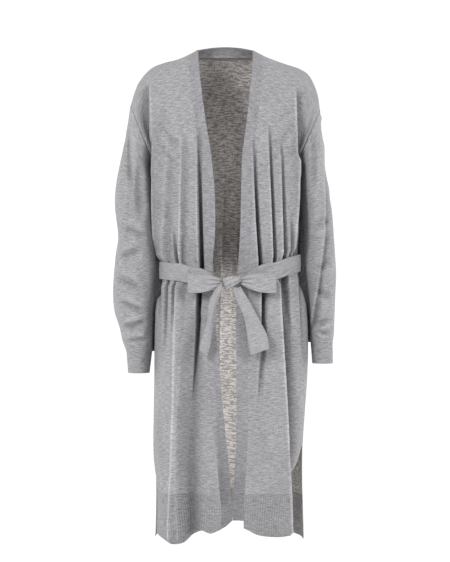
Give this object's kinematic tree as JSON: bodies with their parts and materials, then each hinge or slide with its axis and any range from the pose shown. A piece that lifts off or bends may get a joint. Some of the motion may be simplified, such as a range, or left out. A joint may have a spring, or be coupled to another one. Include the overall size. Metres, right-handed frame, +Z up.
{
  "type": "wrap cardigan",
  "caption": "Long open-fronted drop-shoulder cardigan in fine grey knit, drawn in by a knitted tie belt with a bow; ribbed hem, side slits.",
  "frame": {"origin": "level with the high shoulder points, midway between front and back, where the wearer's shoulders carry it", "axes": "+Z up along the garment, -Y out of its front, +X to the wearer's left"},
  "size_m": [0.497, 0.2844, 1.093],
  "materials": {
    "back": "fine marled jersey knit",
    "back_hem_rib": "fine rib knit",
    "band_back_neck": "fine rib knit",
    "band_left": "fine rib knit",
    "band_right": "fine rib knit",
    "belt_carrier_left": "smooth double knit",
    "belt_carrier_right": "smooth double knit",
    "belt_knot": "smooth double knit",
    "belt_tail_left": "smooth double knit",
    "belt_tail_right": "smooth double knit",
    "belt_waist": "smooth double knit",
    "bow_loop_left": "smooth double knit",
    "bow_loop_right": "smooth double knit",
    "cuff_left": "fine rib knit",
    "cuff_right": "fine rib knit",
    "front_left": "fine marled jersey knit",
    "front_left_hem_rib": "fine rib knit",
    "front_right": "fine marled jersey knit",
    "front_right_hem_rib": "fine rib knit",
    "sleeve_left": "fine marled jersey knit",
    "sleeve_right": "fine marled jersey knit"
  },
  "bodies": {
    "root": {"back": "back", "back_hem_rib": "back_hem_rib", "band_back_neck": "band_back_neck", "band_left": "band_left", "band_right": "band_right", "belt_carrier_left": "belt_carrier_left", "belt_carrier_right": "belt_carrier_right", "belt_knot": "belt_knot", "belt_tail_left": "belt_tail_left", "belt_tail_right": "belt_tail_right", "belt_waist": "belt_waist", "bow_loop_left": "bow_loop_left", "bow_loop_right": "bow_loop_right", "cuff_left": "cuff_left", "cuff_right": "cuff_right", "front_left": "front_left", "front_left_hem_rib": "front_left_hem_rib", "front_right": "front_right", "front_right_hem_rib": "front_right_hem_rib", "sleeve_left": "sleeve_left", "sleeve_right": "sleeve_right"}
  },
  "joints": []
}
